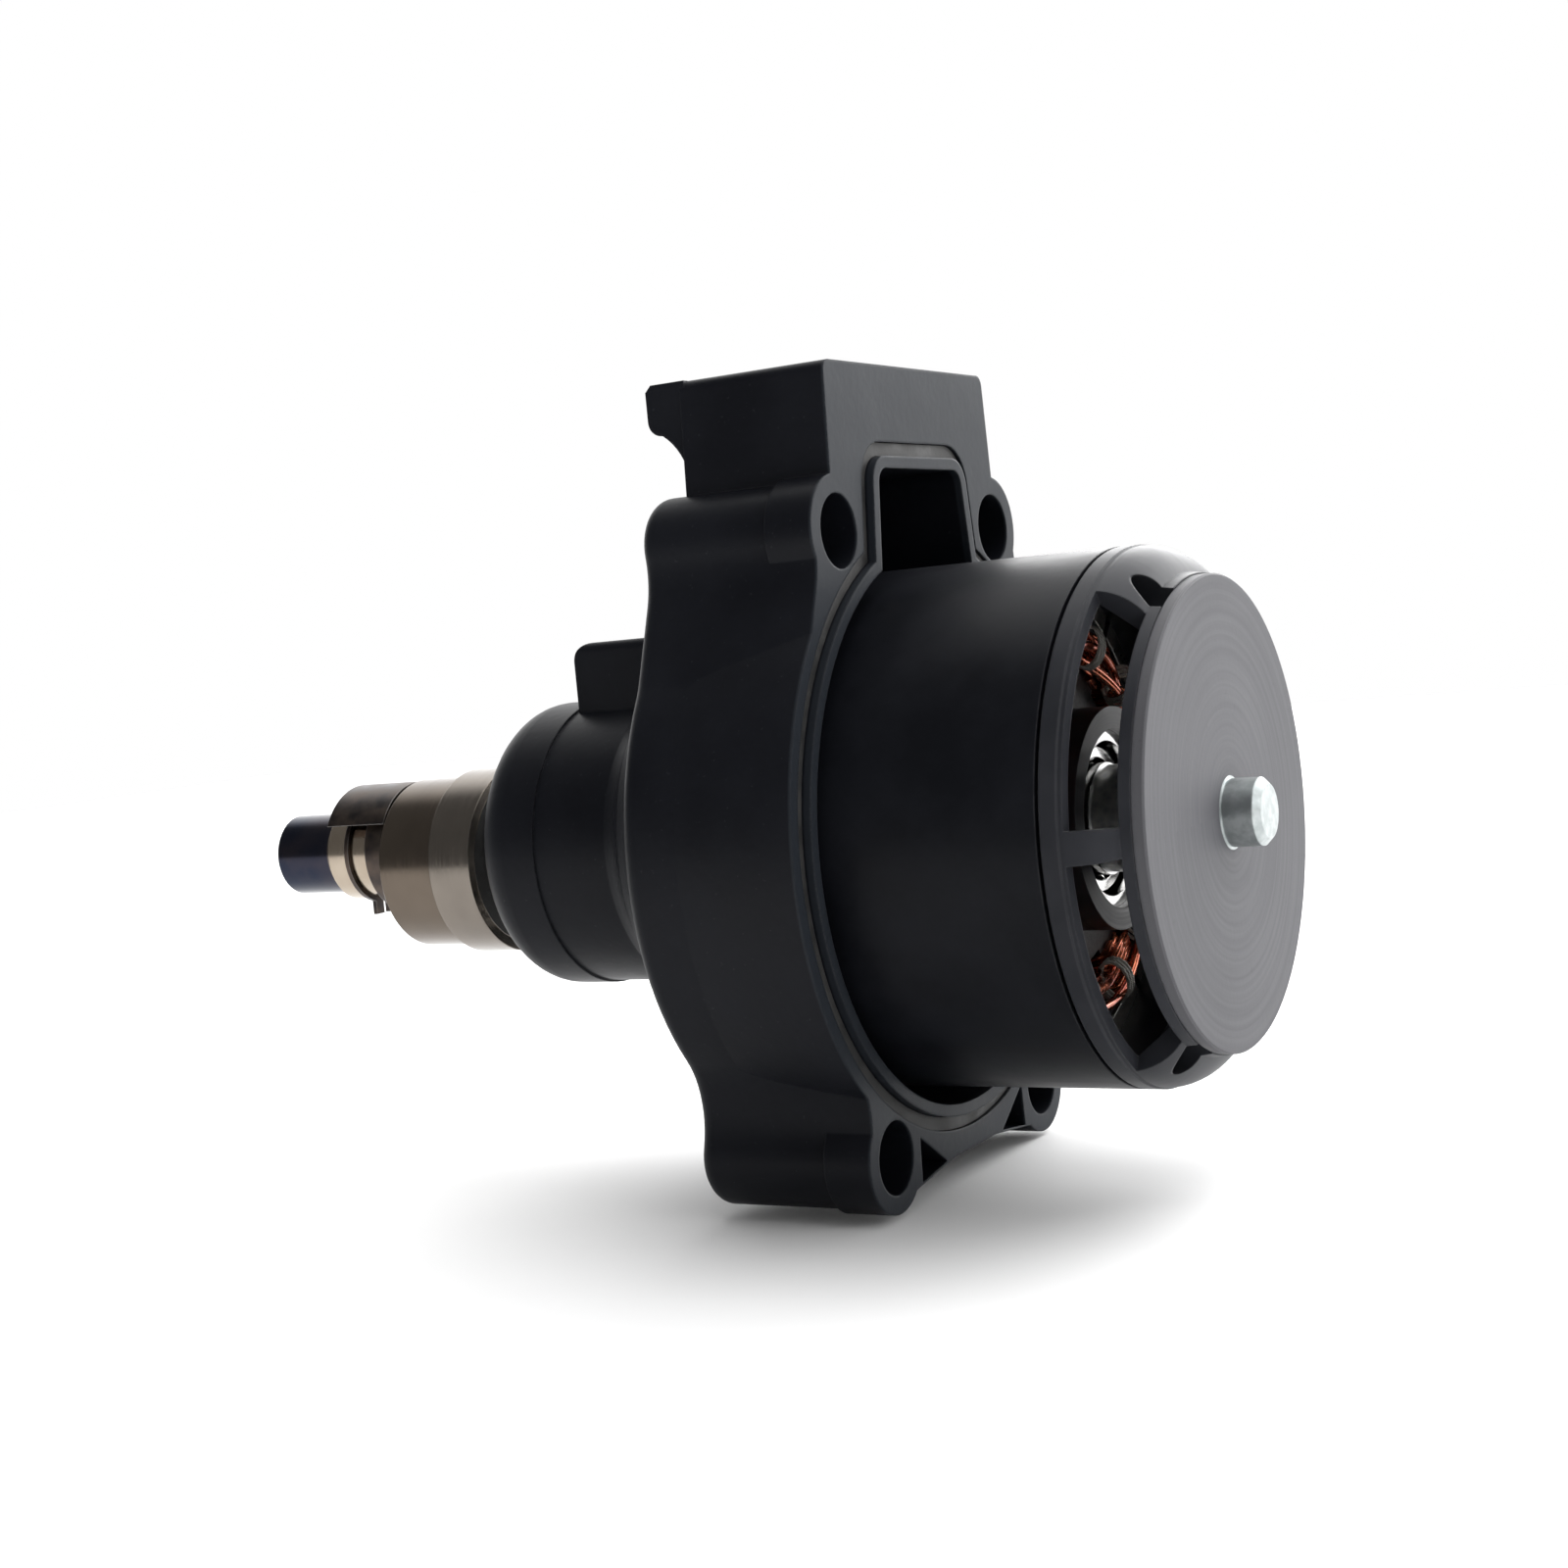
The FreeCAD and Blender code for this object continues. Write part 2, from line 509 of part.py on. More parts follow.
def magnet():
    """One arc magnet glued inside the flux ring."""
    outer, inner = size("can_radius") - size("can_wall"), 0.0
    inner = outer - size("magnet_thick")
    half = math.radians(size("magnet_half_angle"))

    def at(radius, angle):
        return V(0, radius * math.sin(angle), radius * math.cos(angle))

    face = Part.Face(Part.Wire([Part.Arc(at(outer, -half), at(outer, 0), at(outer, half)).toShape(),
                                Part.makeLine(at(outer, half), at(inner, half)),
                                Part.Arc(at(inner, half), at(inner, 0), at(inner, -half)).toShape(),
                                Part.makeLine(at(inner, -half), at(outer, -half))]))
    face.translate(V(-size("magnet_front"), 0, 0))
    return face.extrude(V(size("magnet_front") + size("magnet_back"), 0, 0))


magnet_master = solid_feature("magnet_master", magnet())
pole = 360.0 / size("magnet_count")
node(around("magnets_a", magnet_master, [2 * pole * i for i in range(7)]), "magnets_north")
node(around("magnets_b", magnet_master, [2 * pole * i + pole for i in range(7)]), "magnets_south")


def sector(start, end, low, high, inner, outer):
    """A ring sector between two angles about X, from the -Y side upwards."""
    def at(radius, angle):
        turn = math.radians(angle)
        return V(start, -radius * math.cos(turn), radius * math.sin(turn))

    middle = (low + high) / 2
    wire = Part.Wire([Part.Arc(at(outer, low), at(outer, middle), at(outer, high)).toShape(),
                      Part.makeLine(at(outer, high), at(inner, high)),
                      Part.Arc(at(inner, high), at(inner, middle), at(inner, low)).toShape(),
                      Part.makeLine(at(inner, low), at(outer, low))])
    return Part.Face(wire).extrude(V(end - start, 0, 0))


def bell():
    """End bell: band on the flux ring, rounded shoulder, end plate and hub."""
    radius, wall = size("can_radius"), size("can_wall")
    start = size("can_back") + size("seam_gap")
    step_x, curve_x, edge = size("bell_step"), size("bell_round"), size("bell_edge")
    rim, plate = size("bell_edge_radius"), size("bell_plate")
    hub, hub_front, bore = size("hub_radius"), size("hub_front"), size("press_radius")
    inside = radius - wall
    edges = [Part.makeLine(V(start, 0, inside), V(start, 0, radius - 0.15)),
             Part.makeLine(V(start, 0, radius - 0.15), V(start + 0.15, 0, radius)),
             Part.makeLine(V(start + 0.15, 0, radius), V(step_x, 0, radius)),
             Part.makeLine(V(step_x, 0, radius), V(step_x + 0.12, 0, radius - 0.15)),
             Part.makeLine(V(step_x + 0.12, 0, radius - 0.15), V(step_x + 0.5, 0, radius - 0.15)),
             Part.Arc(V(step_x + 0.5, 0, radius - 0.15), V(step_x + 2.6, 0, radius - 0.95),
                      V(edge - plate, 0, rim)).toShape(),
             Part.makeLine(V(edge - plate, 0, rim), V(edge, 0, rim - 0.15)),
             Part.makeLine(V(edge, 0, rim - 0.15), V(edge, 0, bore)),
             Part.makeLine(V(edge, 0, bore), V(hub_front, 0, bore)),
             Part.makeLine(V(hub_front, 0, bore), V(hub_front, 0, hub)),
             Part.makeLine(V(hub_front, 0, hub), V(edge - plate - 0.4, 0, hub)),
             Part.makeLine(V(edge - plate - 0.4, 0, hub), V(edge - plate - 0.4, 0, rim - 2.2)),
             Part.makeLine(V(edge - plate - 0.4, 0, rim - 2.2), V(step_x + 0.5, 0, inside)),
             Part.makeLine(V(step_x + 0.5, 0, inside), V(start, 0, inside))]
    solid = Part.Face(Part.Wire(edges)).revolve(V(0, 0, 0), X_AXIS, 360)
    lap_ring = Part.makeCylinder(inside + 0.0, 2.6, V(start - 2.6, 0, 0), X_AXIS)
    lap_ring = lap_ring.cut(Part.makeCylinder(inside - 1.0, 2.6, V(start - 2.6, 0, 0), X_AXIS))
    pad = Part.makeCylinder(inside, 0.5, V(start, 0, 0), X_AXIS)
    pad = pad.cut(Part.makeCylinder(inside - 1.0, 0.5, V(start, 0, 0), X_AXIS))
    solid = solid.fuse([lap_ring, pad]).removeSplitter()
    low, high = size("spoke_half_angle"), size("window_end_angle")
    first, last = size("window_start"), size("bell_edge") - size("bell_plate")
    for flip in (0, 180):
        for a, b in ((low, high), (-high, -low)):
            opening = sector(first, last, a, b, size("window_inner"), radius + 3)
            opening.rotate(V(0, 0, 0), X_AXIS, flip)
            solid = solid.cut(opening)
    for turn in (0, 180):
        for side in (-1, 1):
            hole = Part.makeCylinder(size("balance_hole_radius"), 8, V(step_x + 0.6, 0, size("balance_hole_at")),
                                     X_AXIS)
            hole.rotate(V(0, 0, 0), X_AXIS, turn + side * size("balance_hole_angle"))
            solid = solid.cut(hole)
    return solid


node(solid_feature("bell_body", bell()), "end_bell")
node(turned("disc_body", [("bell_edge", "press_radius"), ("bell_edge + end_disc_thick", "press_radius"),
                          ("bell_edge + end_disc_thick", "end_disc_radius - 0.15"),
                          ("bell_edge + end_disc_thick - 0.15", "end_disc_radius"),
                          ("bell_edge", "end_disc_radius")]), "end_disc")

# ---------------------------------------------------------------- shaft
shaft_core = turned("shaft_core", [
    ("-shaft_front", "0"), ("-shaft_front", "tip_radius - end_chamfer"),
    ("-shaft_front + end_chamfer", "tip_radius"), ("-tip_start - relief", "tip_radius"),
    ("-tip_start - relief", "tip_radius - 0.2"), ("-tip_start", "tip_radius - 0.2"),
    ("-tip_start", "journal_radius - 0.25"), ("-tip_start + 0.25", "journal_radius"),
    ("-clip_at - clip_thick", "journal_radius"), ("-clip_at - clip_thick", "journal_radius - clip_seat"),
    ("-clip_at", "journal_radius - clip_seat"), ("-clip_at", "journal_radius"),
    ("-crank_front", "journal_radius"), ("-crank_front", "journal_radius - eccentric_offset - 0.1"),
    ("-crank_back", "journal_radius - eccentric_offset - 0.1"), ("-crank_back", "seat_journal"),
    ("-front_seat_back", "seat_journal"), ("-front_seat_back", "middle_radius"),
    ("rear_bearing_front + rear_bearing_width", "middle_radius"),
    ("rear_bearing_front + rear_bearing_width", "press_radius"),
    ("bell_edge + end_disc_thick", "press_radius"), ("bell_edge + end_disc_thick", "back_radius"),
    ("shaft_back - end_chamfer", "back_radius"), ("shaft_back", "back_radius - end_chamfer"),
    ("shaft_back", "0")])
crank_pin = cylinder("crank_pin", "journal_radius", "-crank_front", "crank_front - crank_back",
                     "0", "-eccentric_offset")
node(fuse("shaft_whole", [shaft_core, crank_pin]), "eccentric_shaft")
node(ring("spacer_body", "4.8", "press_radius", "rear_bearing_front + rear_bearing_width", "hub_front"),
     "hub_spacer")
node(ring("front_spacer_body", "5.6", "seat_journal", "-crank_back + 0.1",
          "-front_bearing_back - front_bearing_width"), "front_spacer")
node(ring("sleeve_body", "eccentric_radius", "journal_radius", "-needle_ring_front", "-needle_ring_back",
          "-eccentric_offset"), "eccentric_sleeve")


def counterweight():
    """A hub pressed on the journal, with a segment opposite the crank that reaches forwards."""
    hub_radius, bore = size("weight_hub_radius"), size("journal_radius")
    front, back, hub_front = -size("weight_front"), -size("weight_back"), -size("weight_hub_front")
    radius, flat = size("weight_radius"), size("weight_flat")
    hub = Part.makeCylinder(hub_radius, back - hub_front, V(hub_front, 0, 0), X_AXIS)
    segment = Part.makeCylinder(radius, back - front, V(front, 0, 0), X_AXIS)
    segment = segment.common(Part.makeBox(back - front, 40, 20, V(front, -20, flat)))
    segment = segment.cut(Part.makeCylinder(size("weight_bore"), hub_front - front, V(front, 0, 0), X_AXIS))
    hole = Part.makeCylinder(bore, 40, V(front - 10, 0, 0), X_AXIS)
    return hub.fuse(segment).cut(hole).removeSplitter()


node(solid_feature("weight_body", counterweight()), "counterweight")


def retaining_ring():
    """External ring in the journal's groove, open at the bottom between two ears."""
    start, thick = -size("clip_at") - size("clip_thick") + 0.02, size("clip_thick") - 0.04
    inner, outer = size("journal_radius") - size("clip_seat"), size("clip_radius")
    ear, gap, reach = size("clip_ear"), size("clip_gap"), size("clip_reach")
    blank = Part.makeCylinder(outer, thick, V(start, 0, 0), X_AXIS)
    ears = Part.makeBox(thick, 2 * ear + gap, reach - inner, V(start, -ear - gap / 2, -reach))
    hole = Part.makeCylinder(inner, thick, V(start, 0, 0), X_AXIS)
    slit = Part.makeBox(thick, gap, reach, V(start, -gap / 2, -reach))
    return blank.fuse(ears).cut(hole).cut(slit)


node(solid_feature("clip_body", retaining_ring()), "retaining_ring")

# ---------------------------------------------------------------- needle bearing
node(turned("needle_shell", [("-needle_ring_front", "needle_ring_inner"), ("-needle_ring_back", "needle_ring_inner"),
                             ("-needle_ring_back", "needle_ring_radius - 0.35"),
                             ("-needle_ring_back - 0.35", "needle_ring_radius"),
                             ("-needle_ring_front + 0.35", "needle_ring_radius"),
                             ("-needle_ring_front", "needle_ring_radius - 0.35")], "-eccentric_offset"),
     "needle_bearing_ring")
needle_pitch = size("eccentric_radius") + size("needle_radius") + size("needle_play")
middle_x = -(size("needle_ring_back") + size("needle_ring_front")) / 2
length = size("needle_length")
drop = -size("eccentric_offset")
roller = solid_feature("needle_master", Part.makeCylinder(size("needle_radius"), length,
                       V(middle_x - length / 2, 0, drop + needle_pitch), X_AXIS))
needles = int(size("needle_count"))
node(around("needle_set", roller, [360.0 / needles * i for i in range(needles)], drop), "needle_rollers")


def needle_cage():
    """Two end rings joined by thin bars between the rollers."""
    outer, inner = size("needle_ring_inner") - 0.05, size("eccentric_radius") + 0.1
    rings = []
    for start in (middle_x - length / 2 - 0.85, middle_x + length / 2 + 0.1):
        blank = Part.makeCylinder(outer, 0.75, V(start, 0, drop), X_AXIS)
        rings.append(blank.cut(Part.makeCylinder(inner, 0.75, V(start, 0, drop), X_AXIS)))
    bar = Part.makeCylinder(0.32, length + 0.8, V(middle_x - length / 2 - 0.4, 0, drop + needle_pitch), X_AXIS)
    bars = []
    for i in range(needles):
        copy = bar.copy()
        copy.rotate(V(0, 0, drop), X_AXIS, 360.0 / needles * (i + 0.5))
        bars.append(copy)
    return rings[0].fuse([rings[1]] + bars)


node(solid_feature("cage_body", needle_cage()), "needle_cage")

# ---------------------------------------------------------------- checks and export
doc.recompute()
for item in doc.Objects:
    if "Invalid" in item.State or "Error" in item.State:
        raise RuntimeError("failed feature: %s %s" % (item.Name, item.State))
for item in nodes:
    if item.Shape.isNull() or not item.Shape.isValid() or not item.Shape.Solids:
        raise RuntimeError("bad shape: " + item.Label)

os.makedirs("parts", exist_ok=True)
for item in nodes:
    item.Shape.exportStep("parts/%s.step" % item.Label)
    bound = item.Shape.BoundBox
    print("%-26s solids %2d volume %9.1f  x %7.2f %7.2f  y %7.2f %7.2f  z %7.2f %7.2f" % (
        item.Label, len(item.Shape.Solids), item.Shape.Volume, bound.XMin, bound.XMax,
        bound.YMin, bound.YMax, bound.ZMin, bound.ZMax))
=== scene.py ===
import math
import random

import bmesh
import bpy
from mathutils import Matrix, Vector


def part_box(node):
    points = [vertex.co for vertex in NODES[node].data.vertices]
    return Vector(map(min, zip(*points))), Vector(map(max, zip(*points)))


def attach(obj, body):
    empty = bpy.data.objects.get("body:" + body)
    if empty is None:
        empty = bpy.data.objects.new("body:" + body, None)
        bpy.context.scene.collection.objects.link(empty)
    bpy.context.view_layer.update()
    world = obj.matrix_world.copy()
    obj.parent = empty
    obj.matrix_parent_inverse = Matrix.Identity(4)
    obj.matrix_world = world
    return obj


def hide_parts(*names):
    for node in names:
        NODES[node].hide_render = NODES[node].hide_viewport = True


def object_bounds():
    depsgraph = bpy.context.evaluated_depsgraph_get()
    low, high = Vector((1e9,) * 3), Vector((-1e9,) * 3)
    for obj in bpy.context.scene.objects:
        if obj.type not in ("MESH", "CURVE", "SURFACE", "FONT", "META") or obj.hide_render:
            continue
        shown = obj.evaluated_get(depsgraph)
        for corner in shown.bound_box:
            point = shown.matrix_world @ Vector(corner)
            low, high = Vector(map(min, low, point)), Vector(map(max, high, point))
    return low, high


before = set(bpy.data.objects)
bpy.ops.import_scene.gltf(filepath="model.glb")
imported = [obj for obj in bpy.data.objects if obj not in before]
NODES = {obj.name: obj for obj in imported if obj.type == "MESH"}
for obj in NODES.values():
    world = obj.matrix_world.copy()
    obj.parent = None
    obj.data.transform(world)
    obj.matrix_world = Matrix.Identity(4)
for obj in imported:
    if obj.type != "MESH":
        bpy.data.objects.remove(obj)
CAD_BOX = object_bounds()
MM = 0.001
LIFT = -1.4 * MM          # height of the crank's axis below the motor's axis
TEETH = 12
POLE_STEP = 2 * math.pi / TEETH

CAMERA_AZIMUTH, CAMERA_ELEVATION, CAMERA_ROLL = (math.radians(a) for a in (29.9, 3.7, -5.39))
CAMERA_PLACE = (0.09527, -0.19526, 0.01929)
CAMERA_LENS, SENSOR_WIDTH, CLIP_START = 53.77, 36.0, 0.01
FLOOR_HALF, FLOOR_GAP = 0.8, 0.5 * MM

BEARING_PARTS = ("outer_ring", "inner_ring", "balls", "cage")
RAMP_SOCKETS = ("From Min", "From Max", "To Min", "To Max")
# Brightness of the studio by direction: axis, where the ramp starts and ends, and its two levels.
WORLD_RAMPS = (("Y", 0.0, 0.5, 0.22, 1.9), ("X", 0.45, 0.95, 0.0, 0.8))

WIRE = 0.36 * MM          # radius of the wire with its enamel
LAYERS, TURNS = 2, 6
HALF_TOOTH, TOOTH_CORNER = 2.05 * MM, 0.7 * MM
COIL_LOW, COIL_HIGH = 14.3 * MM, 18.1 * MM
COIL_STEPS, COIL_SQUARENESS, COIL_JITTER = 24, 0.24, 0.04 * MM

LEAD_RADIUS, LEAD_STEPS, LEAD_MARGIN = 0.45 * MM, 16, 0.12
LEAD_RINGS = (14.7 * MM, 15.9 * MM, 17.1 * MM)
TIE_RADIUS, TIE_STEPS, TIE_SPREAD = 0.17 * MM, 16, 0.035

CHIP_TALL, CHIP_EDGE, END_CAP = 0.65 * MM, 0.08 * MM, 0.06 * MM
# Angle in degrees, distance from the axis, length and width in millimetres.
CHIPS = ((55, 18.5, 1.6, 0.8), (68, 16.8, 2.0, 1.2), (112, 17.0, 2.0, 1.2), (125, 18.6, 1.6, 0.8),
         (2, 18.0, 3.0, 3.0), (200, 17.6, 1.6, 0.8), (215, 18.2, 2.0, 1.2), (232, 17.4, 1.6, 0.8),
         (308, 17.8, 2.0, 1.2), (325, 18.4, 1.6, 0.8), (342, 17.2, 1.6, 0.8))


# ---------------------------------------------------------------- camera, floor and light
def make_camera():
    """Looks along the object from the rotor end, a little above the axis, slightly rolled."""
    azimuth, elevation, roll = CAMERA_AZIMUTH, CAMERA_ELEVATION, CAMERA_ROLL
    level = math.cos(elevation)
    back = Vector((math.sin(azimuth) * level, -math.cos(azimuth) * level, math.sin(elevation)))
    right = Vector((math.cos(azimuth), math.sin(azimuth), 0.0))
    up = back.cross(right)
    side = right * math.cos(roll) + up * math.sin(roll)
    top = up * math.cos(roll) - right * math.sin(roll)
    data = bpy.data.cameras.new("camera")
    data.lens = CAMERA_LENS
    data.sensor_width = SENSOR_WIDTH
    data.clip_start = CLIP_START
    camera = bpy.data.objects.new("camera", data)
    rows = [(side[i], top[i], back[i], CAMERA_PLACE[i]) for i in range(3)]
    camera.matrix_world = Matrix((*rows, (0.0, 0.0, 0.0, 1.0)))
    bpy.context.scene.collection.objects.link(camera)
    bpy.context.scene.camera = camera


def make_floor():
    """A pale floor just below the object."""
    mesh = bpy.data.meshes.new("floor")
    shape = bmesh.new()
    bmesh.ops.create_grid(shape, x_segments=2, y_segments=2, size=FLOOR_HALF)
    shape.to_mesh(mesh)
    shape.free()
    floor = bpy.data.objects.new("floor", mesh)
    floor.location = (0, 0, CAD_BOX[0][2] - FLOOR_GAP)
    bpy.context.scene.collection.objects.link(floor)
    paint = Paint("floor_white", (0.9, 0.9, 0.9), 0.9)
    paint.vary_colour(paint.noise(40), (0.88, 0.88, 0.88), (0.92, 0.92, 0.92))
    mesh.materials.append(paint.material)


def area_light(name, place, target, size, power):
    data = bpy.data.lights.new(name, "AREA")
    data.shape = "RECTANGLE"
    data.size, data.size_y = size
    data.energy = power
    light = bpy.data.objects.new(name, data)
    aim = Vector(target) - Vector(place)
    turn = aim.to_track_quat("-Z", "Y").to_matrix().to_4x4()
    light.matrix_world = Matrix.Translation(place) @ turn
    bpy.context.scene.collection.objects.link(light)


def make_light():
    """A white studio, left dark at -Y so that polished steel has something to reflect."""
    world = bpy.data.worlds.new("studio")
    bpy.context.scene.world = world
    world.use_nodes = True
    tree = world.node_tree
    background = tree.nodes["Background"]
    background.inputs["Color"].default_value = (1.0, 1.0, 1.0, 1.0)
    split = tree.nodes.new("ShaderNodeSeparateXYZ")
    tree.links.new(tree.nodes.new("ShaderNodeTexCoord").outputs["Generated"], split.inputs[0])
    strength = None
    for axis, low, high, dark, bright in WORLD_RAMPS:
        level = tree.nodes.new("ShaderNodeMapRange")
        level.interpolation_type = "SMOOTHSTEP"
        tree.links.new(split.outputs[axis], level.inputs["Value"])
        for name, number in zip(RAMP_SOCKETS, (low, high, dark, bright)):
            level.inputs[name].default_value = number
        if strength is None:
            strength = level.outputs[0]
            continue
        larger = tree.nodes.new("ShaderNodeMath")
        larger.operation = "MAXIMUM"
        tree.links.new(strength, larger.inputs[0])
        tree.links.new(level.outputs[0], larger.inputs[1])
        strength = larger.outputs[0]
    seen = tree.nodes.new("ShaderNodeMix")
    tree.links.new(tree.nodes.new("ShaderNodeLightPath").outputs["Is Camera Ray"], seen.inputs[0])
    tree.links.new(strength, seen.inputs[2])
    seen.inputs[3].default_value = 1.0
    tree.links.new(seen.outputs[0], background.inputs["Strength"])
    area_light("top_soft", (0.2, 0.2, 1.1), (0.05, 0, 0), (1.4, 1.4), 14.0)
    area_light("back_low", (0.1, 0.7, 0.35), (0.0, 0, -0.03), (0.9, 0.4), 5.0)
    area_light("right_soft", (0.7, -0.12, 0.3), (0.02, 0, 0), (0.35, 0.35), 1.0)
    bpy.context.scene.view_settings.view_transform = "Standard"


# ---------------------------------------------------------------- material nodes
class Paint:
    """One procedural material. Sizes are in metres on the piece itself."""

    def __init__(self, name, colour, roughness, metallic=0.0, **sockets):
        self.material = bpy.data.materials.new(name)
        self.material.use_nodes = True
        self.tree = self.material.node_tree
        self.shader = self.tree.nodes["Principled BSDF"]
        self.shader.inputs["Base Color"].default_value = (*colour, 1.0)
        self.shader.inputs["Roughness"].default_value = roughness
        self.shader.inputs["Metallic"].default_value = metallic
        for socket, number in sockets.items():
            self.shader.inputs[socket.replace("_", " ").title()].default_value = number
        self.place = self.node("ShaderNodeTexCoord").outputs["Object"]
        self.normal = None

    def node(self, kind, **settings):
        made = self.tree.nodes.new(kind)
        for name, setting in settings.items():
            setattr(made, name, setting)
        return made

    def put(self, target, value):
        """Link a socket, or set a plain number or colour."""
        if isinstance(value, bpy.types.NodeSocket):
            self.tree.links.new(value, target)
        else:
            target.default_value = value

    def math(self, operation, first, second=0.0):
        made = self.node("ShaderNodeMath", operation=operation)
        self.put(made.inputs[0], first)
        self.put(made.inputs[1], second)
        return made.outputs[0]

    def axes(self):
        split = self.node("ShaderNodeSeparateXYZ")
        self.put(split.inputs[0], self.place)
        return split.outputs

    def noise(self, scale, detail=3.0, place=None):
        made = self.node("ShaderNodeTexNoise")
        self.put(made.inputs["Vector"], place or self.place)
        self.put(made.inputs["Scale"], scale)
        self.put(made.inputs["Detail"], detail)
        return made.outputs["Fac"]

    def cells(self, scale):
        made = self.node("ShaderNodeTexVoronoi")
        self.put(made.inputs["Vector"], self.place)
        self.put(made.inputs["Scale"], scale)
        return made.outputs["Distance"]

    def distance(self, first, second):
        squares = [self.math("MULTIPLY", part, part) for part in (first, second)]
        return self.math("SQRT", self.math("ADD", *squares))

    def patches(self, value, start=0.0, end=1.0):
        """Parts a noise value into soft patches about its middle."""
        return self.between(value, 0.35, 0.65, start, end)

    def turned(self, pitch, centre=0.0):
        """Marks left by turning or grinding about the X axis at height centre."""
        x, y, z = self.axes()
        up = self.math("SUBTRACT", z, centre)
        radius = self.distance(y, up)
        angle = self.math("ARCTAN2", up, y)
        joined = self.node("ShaderNodeCombineXYZ")
        self.put(joined.inputs[0], self.math("DIVIDE", x, pitch))
        self.put(joined.inputs[1], self.math("DIVIDE", radius, pitch))
        self.put(joined.inputs[2], self.math("MULTIPLY", angle, 0.4))
        return self.noise(1.0, 2.0, joined.outputs[0])

    def between(self, value, low, high, start=0.0, end=1.0):
        made = self.node("ShaderNodeMapRange")
        for name, number in zip(("Value", *RAMP_SOCKETS), (value, low, high, start, end)):
            self.put(made.inputs[name], number)
        return made.outputs[0]

    def mix(self, share, first, second):
        made = self.node("ShaderNodeMix", data_type="RGBA")
        self.put(made.inputs[0], share)
        for target, colour in ((made.inputs[6], first), (made.inputs[7], second)):
            self.put(target, (*colour, 1.0) if isinstance(colour, tuple) else colour)
        return made.outputs[2]

    def vary_colour(self, share, first, second):
        colour = self.mix(share, first, second)
        self.put(self.shader.inputs["Base Color"], colour)
        return colour

    def vary_roughness(self, value, low, high):
        self.put(self.shader.inputs["Roughness"], self.between(value, 0.3, 0.7, low, high))

    def soften_edges(self, radius):
        """Light catches sharp edges as if broken with this radius. Returns a mask of them."""
        bevel = self.node("ShaderNodeBevel", samples=4)
        bevel.inputs["Radius"].default_value = radius
        self.normal = bevel.outputs[0]
        same = self.node("ShaderNodeVectorMath", operation="DOT_PRODUCT")
        self.put(same.inputs[0], self.normal)
        self.put(same.inputs[1], self.node("ShaderNodeNewGeometry").outputs["Normal"])
        self.put(self.shader.inputs["Normal"], self.normal)
        return self.between(same.outputs["Value"], 0.99, 0.86)

    def bump(self, value, depth):
        made = self.node("ShaderNodeBump")
        made.inputs["Distance"].default_value = depth
        self.put(made.inputs["Height"], value)
        if self.normal:
            self.put(made.inputs["Normal"], self.normal)
        self.normal = made.outputs[0]
        self.put(self.shader.inputs["Normal"], self.normal)


def dress(paint, *names):
    """Give these CAD nodes the material."""
    for name in names:
        mesh = NODES[name].data
        mesh.materials.clear()
        mesh.materials.append(paint.material)


# ---------------------------------------------------------------- materials
def black_casting():
    """Satin black coating on a die casting: orange peel, dust, edges rubbed a little; the rear face
    is painted lighter where it faces the light.
    """
    paint = Paint("black_casting", (0.011, 0.0115, 0.014), 0.42)
    edges = paint.soften_edges(0.3 * MM)
    patches = paint.noise(90, 4.0)
    rubbed = paint.math("MULTIPLY", edges, paint.patches(paint.noise(700), 0.25, 1.0))
    coat = paint.mix(paint.patches(patches), (0.0055, 0.006, 0.0085), (0.008, 0.0088, 0.012))
    specks = paint.between(paint.noise(2600, 1.0), 0.72, 0.8)
    dusty = paint.mix(paint.math("MULTIPLY", specks, 0.35), coat, (0.035, 0.036, 0.04))
    # Painted light: from X = -0.1 mm up, the rear face is painted a lighter bluish black where it
    # faces the light.
    painted_lit_face_mask = paint.between(paint.axes()[0], -0.3 * MM, -0.1 * MM)
    painted_lit_face = paint.mix(painted_lit_face_mask, dusty, (0.018, 0.021, 0.026))
    paint.vary_colour(paint.math("MULTIPLY", rubbed, 0.5), painted_lit_face, (0.035, 0.037, 0.043))
    paint.shader.inputs["Specular IOR Level"].default_value = 0.1
    paint.vary_roughness(patches, 0.36, 0.48)
    paint.bump(paint.noise(1400, 2.0), 0.012 * MM)
    paint.bump(paint.noise(260, 2.0), 0.03 * MM)
    return paint


def black_steel(name, dark, light):
    """Baked black coating on turned steel: faint turning lines under it."""
    paint = Paint(name, dark, 0.36)
    paint.shader.inputs["Specular IOR Level"].default_value = 0.08
    edges = paint.soften_edges(0.2 * MM)
    lines = paint.turned(0.16 * MM)
    patches = paint.noise(140, 3.0)
    coat = paint.mix(paint.patches(patches), dark, light)
    rubbed = paint.math("MULTIPLY", edges, paint.patches(paint.noise(900), 0.3, 1.0))
    paint.vary_colour(paint.math("MULTIPLY", rubbed, 0.55), coat, (0.07, 0.071, 0.075))
    paint.vary_roughness(patches, 0.31, 0.41)
    paint.bump(lines, 0.004 * MM)
    paint.bump(paint.noise(1100, 2.0), 0.006 * MM)
    return paint


